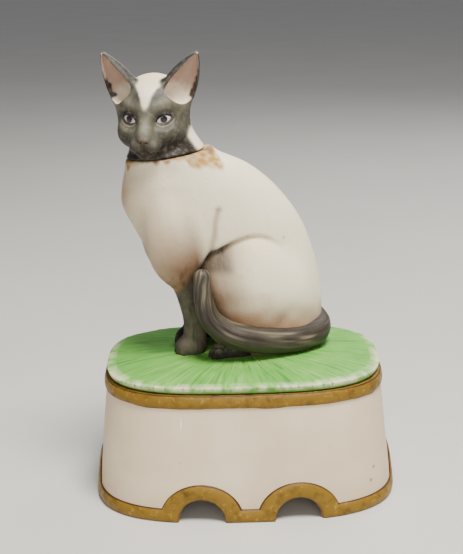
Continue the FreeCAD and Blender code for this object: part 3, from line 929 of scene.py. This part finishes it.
tail_finish, tree, shader = start_finish("charcoal_paint", 0.5)
cloud, tooth, specks = grained(tree, 60.0)
strokes = look_of(tree, "strokes")
colour = over(tree, pot(52, 46, 38), pot(72, 66, 56), cloud)
colour = over(tree, colour, pot(140, 128, 106), spread(tree, strokes, 0.50, 0.90, 0.0, 0.85))
colour = over(tree, colour, pot(30, 24, 20), spread(tree, strokes, 0.44, 0.12, 0.0, 0.9))
tree.links.new(colour, shader.inputs["Base Color"])
tree.links.new(spread(tree, tooth, 0.3, 0.7, 0.42, 0.58), shader.inputs["Roughness"])
emboss(tree, shader, tooth, 0.0001)
make_piece("cat_tail", tail_points, quads(STEPS_ALONG, STEPS_ROUND, wrap_rows=False), tail_finish, "bottle",
           ["tail"], looks={"strokes": 0.5 + 0.5 * brush}, merge=True, crease=80)


# ---- head ----
# The head is the bottle's stopper: a slip-cast bisque shell that ends in a rounded lip at the neck joint.
# Its charcoal mask is sprayed and brushed by hand, with a cream blaze, a paler nose and a brown muzzle.
# Like the body it is one flowing form, so it is made as a field.
HEAD_AT = np.array([-44.1, -3.4, 206.0])
HEAD_TURN = math.radians(-101)
NECK_R = 21.4
EYE_AT = np.array([15.0, 9.3, 0.8])
EYE_OUT = np.array([0.905, 0.42, -0.04]) / np.linalg.norm([0.905, 0.42, -0.04])
EYE_R = 8.0
EYE_TILT = math.radians(16)
EAR_ROOT = np.array([2.0, 14.2, 11.0])
EAR_TIP = np.array([3.5, 25.0, 33.8])
EAR_OPENS = np.array([0.9, 0.43, 0.0])
EAR_LENGTH = float(np.linalg.norm(EAR_TIP - EAR_ROOT))
EAR_ALONG = (EAR_TIP - EAR_ROOT) / EAR_LENGTH
EAR_DEPTH = EAR_OPENS - EAR_ALONG * EAR_OPENS.dot(EAR_ALONG)
EAR_DEPTH = EAR_DEPTH / np.linalg.norm(EAR_DEPTH)
EAR_ACROSS = np.cross(EAR_ALONG, EAR_DEPTH)
EAR_ROOT_SHIFT = 1.9
EAR_STATIONS = (-0.5, 0, 0.12, 0.3, 0.45, 0.57, 0.75, 0.9, 1.0, 1.04)
EAR_HALF = (10.2, 9.6, 9.4, 8.7, 7.7, 6.7, 4.7, 2.6, 0.9, 0.05)
SKULL = ((-2.6, 0, 3.2), (19.8, 19.0, 19.3))
JAWS = ((2.6, 2.5, -5.5), (16.0, 15.0, 12.4))


def head_axes(x, y, z):
    """Turns places in the room to the head's own axes: forward, left and up from its middle."""
    dx, dy = x - HEAD_AT[0], y - HEAD_AT[1]
    c, s = math.cos(HEAD_TURN), math.sin(HEAD_TURN)
    return c * dx + s * dy, c * dy - s * dx, z - HEAD_AT[2]


def head_place(points):
    """Puts points given in the head's own axes back in the room."""
    c, s = math.cos(HEAD_TURN), math.sin(HEAD_TURN)
    f, l, u = np.moveaxis(np.asarray(points, float), -1, 0)
    return np.stack([c * f - s * l, s * f + c * l, u], -1) + HEAD_AT


def eye_frame():
    """Directions in the eye's opening: towards the outer corner, and towards the brow."""
    level = np.cross((0, 0, 1), EYE_OUT)
    level /= np.linalg.norm(level)
    rise = np.cross(EYE_OUT, level)
    c, s = math.cos(EYE_TILT), math.sin(EYE_TILT)
    return c * level + s * rise, c * rise - s * level


EYE_LONG, EYE_HIGH = eye_frame()
EYE_BALL = EYE_AT - EYE_OUT * EYE_R


def eye_place(f, near, u):
    """Places in the eye's own axes: to its outer corner, up to the brow, and out of its surface."""
    d = [v - c for v, c in zip((f, near, u), EYE_AT)]
    return [sum(v * w for v, w in zip(d, way)) for way in (EYE_LONG, EYE_HIGH, EYE_OUT)]


def almond(turn, swell=0.0):
    """The eye's opening: a wide oval drawn to a point at each corner, fuller above than below."""
    high = np.where(np.sin(turn) > 0, 2.75, 2.15) + swell
    rise = high * np.sin(turn) * np.abs(np.sin(turn)) ** 0.3
    return (4.45 + swell) * np.cos(turn), rise


def on_eye(x, y, radius):
    """Points of the eyeball above places in the plane of the opening."""
    lift = np.sqrt(np.maximum(radius ** 2 - x ** 2 - y ** 2, 0))
    return EYE_BALL + x[..., None] * EYE_LONG + y[..., None] * EYE_HIGH + lift[..., None] * EYE_OUT


def lid_gap(f, near, u):
    """Distance to the line of the lids, worked out only close to the eye; and whether the nearest bit is above."""
    shape = np.shape(f)
    p = np.stack([np.ravel(f), np.ravel(near), np.ravel(u)], -1)
    gap, upper = np.full(len(p), 9.0), np.zeros(len(p))
    close = np.sum((p - EYE_AT) ** 2, 1) < 64
    turn = np.linspace(0, 2 * math.pi, 56, endpoint=False)
    line = on_eye(*almond(turn, 0.25), EYE_R)
    far = np.linalg.norm(p[close][:, None] - line[None], axis=2)
    gap[close] = far.min(1)
    upper[close] = np.sin(turn)[far.argmin(1)]
    return gap.reshape(shape), upper.reshape(shape)


def ear_place(f, near, u):
    """Share of the way from the ear's root to its tip, and places across and through it from its middle line."""
    d = [v - r for v, r in zip((f, near, u), EAR_ROOT)]
    along, across, deep = (sum(v * w for v, w in zip(d, way)) for way in (EAR_ALONG, EAR_ACROSS, EAR_DEPTH))
    along = along / EAR_LENGTH
    return along, across + EAR_ROOT_SHIFT * (1 - np.clip(along, 0, 1)), deep


def ear_shell(f, near, u):
    """Distance to the ear's outside: a leaf whose half width narrows from root to tip."""
    along, across, deep = ear_place(f, near, u)
    half = flowing(along, EAR_STATIONS, EAR_HALF)
    return np.maximum(leaf(across, deep, half, 0.62 * half + 0.5, 0.93), (along - 1.0) * EAR_LENGTH)


def ear_hollow(f, near, u):
    """Distance to the hollow that opens the ear to the front."""
    along, across, deep = ear_place(f, near, u)
    half = flowing(along, (-0.16, -0.05, 0.1, 0.3, 0.5, 0.7, 0.88, 0.97), (0.3, 4.8, 7.4, 7.0, 5.4, 3.5, 1.5, 0.2))
    deep = deep - 0.5 - 0.46 * half
    return np.maximum(leaf(across, deep, half, half + 0.3, 0.93), (-0.13 - along) * EAR_LENGTH)


def head_form(x, y, z):
    """Skull, jaws, muzzle, brows, eyes, lids, ears and neck, cut off level with the joint."""
    f, l, u = head_axes(x, y, z)
    near = np.abs(l)
    form = join(egg(f, l, u, *SKULL), egg(f, near, u, *JAWS), 4.0)
    form = join(form, egg(f, near, u, (10.5, 8.5, -6.5), (7.5, 7.5, 6.8)), 4.0)
    form = join(form, egg(f, l, u, (15.4, 0, -11.0), (8.4, 8.6, 7.2)), 3.0)
    bridge = limb(f, near, u, ((10.6, 0, 9.5, 5.4), (14.6, 0, 3.0, 4.0), (20.4, 0, -6.6, 3.6)))
    form = join(form, bridge, 3.4)
    form = join(form, limb(f, near, u, ((15.0, 4.4, 6.2, 1.8), (11.6, 10.5, 8.2, 2.2), (6.5, 15.6, 7.0, 2.0))), 3.0)
    long_way, high_way, out_way = eye_place(f, near, u)
    form = scoop(form, egg(long_way, high_way, out_way, (0, 0.2, 3.5), (7.2, 4.6, 4.2)), 1.8)
    opening = np.abs(high_way - 0.3) - 2.5 * np.maximum(1 - (long_way / 4.6) ** 2, 0) ** 0.65
    opening = np.maximum(np.maximum(opening, np.abs(long_way) - 4.5), -(out_way + 2.6))
    form = scoop(form, opening, 0.3)
    form = join(form, egg(f, near, u, EYE_BALL, (EYE_R,) * 3), 0.3)
    gap, upper = lid_gap(f, near, u)
    form = join(form, gap - 0.62 - 0.22 * upper, 0.7)
    form = join(form, egg(f, near, u, (18.6, 3.7, -12.4), (5.0, 4.6, 4.2)), 1.4)
    form = join(form, egg(f, l, u, (17.0, 0, -16.4), (4.8, 5.0, 3.2)), 1.0)
    form = join(form, egg(f, l, u, (22.4, 0, -8.8), (2.5, 3.0, 2.1)), 0.9)
    form = scoop(form, egg(f, near, u, (24.3, 1.5, -9.8), (1.2, 0.75, 0.6)), 0.4)
    form = form + groove(near, u, ((0, -10.8), (0, -13.6), (3.2, -15.4), (6.6, -14.9)), 0.6, 0.5) * ease((f - 12) / 3)
    height, out = neck_place(x, y, z)
    flare = NECK_R - 0.62 * height + 0.012 * height ** 2
    lip = np.maximum(0.86 * (out - flare), height - 15)
    form = join(form, lip, 3.0)
    form = join(form, ear_shell(f, near, u), 2.6)
    form = scoop(form, ear_hollow(f, near, u), 0.7)
    form = -join(-form, height - JOINT_GAP / 2, 1.5)
    return scoop(form, np.maximum(out - 18.2, height - 1.2), 0.5)


def ear_block(x, y, z):
    """Below zero where the ear is its own casting, above the line on which it is luted to the skull."""
    f, l, u = head_axes(x, y, z)
    along = ear_place(f, np.abs(l), u)[0]
    return np.maximum((0.14 - along) * EAR_LENGTH, ear_shell(f, np.abs(l), u) - 0.9)


def skull_form(x, y, z):
    return np.maximum(head_form(x, y, z), -ear_block(x, y, z))


def ear_form(x, y, z, side):
    l = head_axes(x, y, z)[1]
    form = np.maximum(head_form(x, y, z) + 0.03, ear_block(x, y, z) - 1.0)
    return np.maximum(form, -side * l)


def blot(f, near, u, centre, size):
    """A soft round spot of paint."""
    return np.exp(-sum(((v - c) / s) ** 2 for v, c, s in zip((f, near, u), centre, size)))


def head_paint(points):
    """The mask and markings of the head, over cream."""
    x, y, z = points.T
    f, l, u = head_axes(x, y, z)
    near = np.abs(l)
    soft, fine = drift(x, y, z, 5.0, 61), drift(x, y, z, 1.8, 62)
    height = neck_place(x, y, z)[0]
    along, across, deep = ear_place(f, near, u)
    hollow = ear_hollow(f, near, u)
    shell = ear_shell(f, near, u)
    skull = np.minimum(egg(f, l, u, *SKULL), egg(f, near, u, *JAWS))
    neck = ease((skull - 0.8) / 1.6) * ease((7.0 - f) / 5.0) * ease((-3 - u) / 4)
    mask = ease((f + 7.5 + 1.2 * soft) / 5.5) * ease((20.8 - u + 1.5 * soft) / 4.5) * (1 - neck)
    width = flowing(u, (3, 6, 9, 12, 15, 18, 21, 26), (0.1, 0.9, 1.9, 3.0, 4.6, 7.0, 10.0, 14.0)) + 0.25 * fine
    blaze = ease((width - near) / 2.4 + 0.5) * ease((u - 4.5) / 4) * (f > 0)
    ear_zone = ease((2.2 - shell) / 2.0) * ease((along - 0.02) / 0.1)
    on_back = ear_zone * ease((3.0 - deep) / 3.0)
    in_ear = ease((0.55 - hollow) / 0.5) * ease((2.2 - shell) / 2.0) * ease((along + 0.2) / 0.06)
    half = flowing(along, EAR_STATIONS, EAR_HALF)
    to_side = np.abs(across) / half
    rim = np.maximum(1 - in_ear, ease((to_side - 0.66 + 0.06 * fine) / 0.08))
    rim = rim * ease((2.2 - shell) / 2.0) * ease((deep + 0.30 * half) / 1.6) * ease((along - 0.04 + 0.02 * fine) / 0.08)
    gap, upper = lid_gap(f, near, u)
    liner = ease((0.95 + 0.45 * upper - gap) / 0.5)
    glow = ease((1.9 - gap) / 0.4) * ease((gap - 0.9) / 0.4) * ease(-upper * 1.6)
    shade = ease((3.4 - gap) / 2.6)
    temple = blot(f, near, u, (6.5, 17.5, 8.0), (4.0, 3.6, 3.4))
    lower = ease((-3.0 - u + 1.5 * soft) / 9.0)
    return layered(paint(232, 222, 200), (
        (paint(222, 206, 168), 0.7 * ease((u - 14) / 5) * (1 - ear_zone)),
        (paint(196, 168, 120), 0.5 * ease((3.2 - height) / 3.0)),
        (paint(78, 76, 63), mask * (1 - blaze)),
        (paint(104, 99, 82), 0.7 * mask * blot(f, near, u, (13, 9, 8.5), (9, 5.5, 3.6)) * (1 - blaze)),
        (paint(66, 68, 68), 0.65 * mask * blot(f, near, u, (13, 5.2, 12.5), (8, 2.6, 4.5)) * (1 - blaze)),
        (paint(26, 17, 10), 0.95 * mask * lower * (1 - 0.75 * blot(f, near, u, (22, 2, -9), (5, 5, 4)))),
        (paint(50, 40, 32), 0.75 * mask * shade),
        (paint(138, 136, 122), 0.75 * blot(f, near, u, (21, 0, -3.5), (6, 2.6, 5.5))),
        (paint(108, 108, 100), 0.5 * blot(f, near, u, (21, 5.0, -10.5), (4, 2.6, 3.0))),
        (paint(92, 64, 48), 0.8 * blot(f, near, u, (25, 0, -9.6), (3, 2.4, 1.7))),
        (paint(60, 40, 34), 0.75 * blot(f, near, u, (22, 2.0, -14.6), (5, 4.0, 2.0)) * mask),
        (paint(190, 172, 140), 0.3 * temple),
        (paint(92, 94, 90), on_back * 0.95),
        (paint(172, 142, 124), in_ear * 0.95),
        (paint(222, 210, 190), in_ear * 0.9 * ease((0.34 - along + 0.05 * fine) / 0.3)),
        (paint(28, 24, 22), rim * 0.95),
        (paint(150, 146, 132), 0.45 * glow),
        (paint(26, 21, 19), liner)))


head_finish, tree, shader = start_finish("mask_paint", 0.55)
cloud, tooth, specks = grained(tree, 80.0)
paint_and_painted_light = look_of(tree, "paint_and_painted_light", "Color")
dark = look_of(tree, "charcoal")
clouded = times(tree, spread(tree, dark, 1.0, 0.0), spread(tree, cloud, 0.4, 1.0, 0.0, 0.25))
pale = times(tree, dark, spread(tree, grain(tree, 420, detail=4.0), 0.5, 0.75, 0.0, 0.4))
deep = times(tree, dark, spread(tree, grain(tree, 260, detail=4.0), 0.5, 0.3, 0.0, 0.4))
colour = over(tree, paint_and_painted_light, pot(206, 190, 164), clouded)
colour = over(tree, colour, pot(130, 126, 114), pale)
colour = over(tree, colour, pot(44, 37, 32), deep)
tree.links.new(colour, shader.inputs["Base Color"])
tree.links.new(spread(tree, tooth, 0.3, 0.7, 0.46, 0.62), shader.inputs["Roughness"])
emboss(tree, shader, tooth, 0.00008)


def head_looks(points):
    colour = head_paint(points)
    return {"paint_and_painted_light": colour, "charcoal": ease((0.30 - colour.mean(1)) / 0.16)}


cast("cat_head", skull_form, (-72, -34, 184), (-16, 24, 233), 0.4, head_finish, "stopper", "head",
     head_looks, head_form)


# ---- ears ----
# Thin cast shells of the same bisque, luted to the skull while the clay was leather hard, so that no line shows.
# Their rims are charcoal and their backs slate.
for name, side in (("left", 1), ("right", -1)):
    tip = head_place(EAR_TIP * (1, side, 1))
    root = head_place(EAR_ROOT * (1, side, 1))
    low, high = np.minimum(tip, root) - 12, np.maximum(tip, root) + (12, 12, 3)
    cast("cat_%s_ear" % name, lambda x, y, z: ear_form(x, y, z, side), low, high, 0.3, head_finish, "stopper",
         name + "_ear", head_looks, head_form)


# ---- eyes ----
# The eyes are almond swellings of the casting, set between the lids. They are painted lilac white with a dark pupil,
# and touched with clear glaze, so they alone shine.
eye_finish, tree, shader = start_finish("eye_glaze", 0.16, coat=0.6)
veins = spread(tree, grain(tree, 900), 0.5, 0.8, 0.0, 0.3)
colour = over(tree, look_of(tree, "paint_and_painted_light", "Color"), pot(120, 110, 118), veins)
tree.links.new(colour, shader.inputs["Base Color"])

reach = np.linspace(0, 1, 30)[:, None]
turn = np.linspace(0, 2 * math.pi, 112, endpoint=False)[None]
edge_x, edge_y = almond(turn, 0.1)
x, y = reach * edge_x, reach * edge_y
front = on_eye(x, y, EYE_R + 0.05)
behind = on_eye(x[::-1], y[::-1], EYE_R - 0.5)
spot = np.hypot(x + 0.1, y - 0.25)
white = layered(paint(214, 206, 212), (
    (paint(150, 140, 150), 0.6 * ease((spot.ravel() - 1.6) / 0.6) * ease((2.6 - spot.ravel()) / 0.6)),
    (paint(18, 18, 20), ease((2.0 - spot.ravel()) / 0.25)),
    # A grey-green patch high on the pupil is a painted sheen.
    (paint(50, 56, 54), 0.45 * ease((0.9 - np.hypot(x + 0.5, y - 0.9).ravel()) / 0.9)),
    (paint(40, 30, 30), ease(((reach + 0 * turn).ravel() - 0.86) / 0.1))))
white = white.reshape(*x.shape, 3)
eye_paint = np.concatenate([white, white[::-1]])
for name, side in (("left", 1), ("right", -1)):
    shape = np.concatenate([front, behind]) * (1, side, 1)
    make_piece(name + "_eye", head_place(shape), quads(*shape.shape[:2], wrap_rows=False), eye_finish, "stopper",
               looks={"paint_and_painted_light": eye_paint}, merge=True, crease=60)


# ---- cork ----
# A tapered natural cork, cut and sanded round. Its upper part is glued in the head's neck, and its lower part plugs
# the pouring hole when the head is on.
CORK_ABOVE, CORK_BELOW = 13.0, 22.0
CORK_R, CORK_SLOPE = 9.48, 1.0 / 17.0

cork_finish, tree, shader = start_finish("cork", 0.8)
place = add(tree, "ShaderNodeTexCoord").outputs["Object"]
cells = add(tree, "ShaderNodeTexVoronoi", {"Vector": place, "Scale": 900.0})
pores = spread(tree, grain(tree, 260, (1, 1, 0.35), detail=5.0), 0.58, 0.68)
colour = over(tree, pot(190, 146, 98), pot(158, 112, 68), spread(tree, cells.outputs["Distance"], 0.2, 0.8))
colour = over(tree, colour, pot(84, 50, 26), pores)
tree.links.new(colour, shader.inputs["Base Color"])
emboss(tree, shader, spread(tree, pores, 0.0, 1.0, 1.0, 0.0), 0.0003)

level = np.array([CORK_ABOVE, CORK_ABOVE, 6, 0.3, -1.0, -8, -15, -CORK_BELOW + 0.8, -CORK_BELOW, -CORK_BELOW])[:, None]
turn = np.linspace(0, 2 * math.pi, 96, endpoint=False)[None]
width = CORK_R + np.minimum(level, 0) * CORK_SLOPE
width = width * np.array([0, 1, 1, 1, 1, 1, 1, 1, 0.92, 0])[:, None]
pits = np.abs(ripple(turn / (2 * math.pi), (level + CORK_BELOW) / 40 + 0 * turn, 40, 8, 71))
width = width - 0.06 * pits * (width > 1)
cork_points = turned_on_neck(width, level, turn)
make_piece("cork_plug", cork_points, quads(*cork_points.shape[:2], wrap_rows=False), cork_finish, "stopper",
           ["stopper_cork"], merge=True, crease=40)
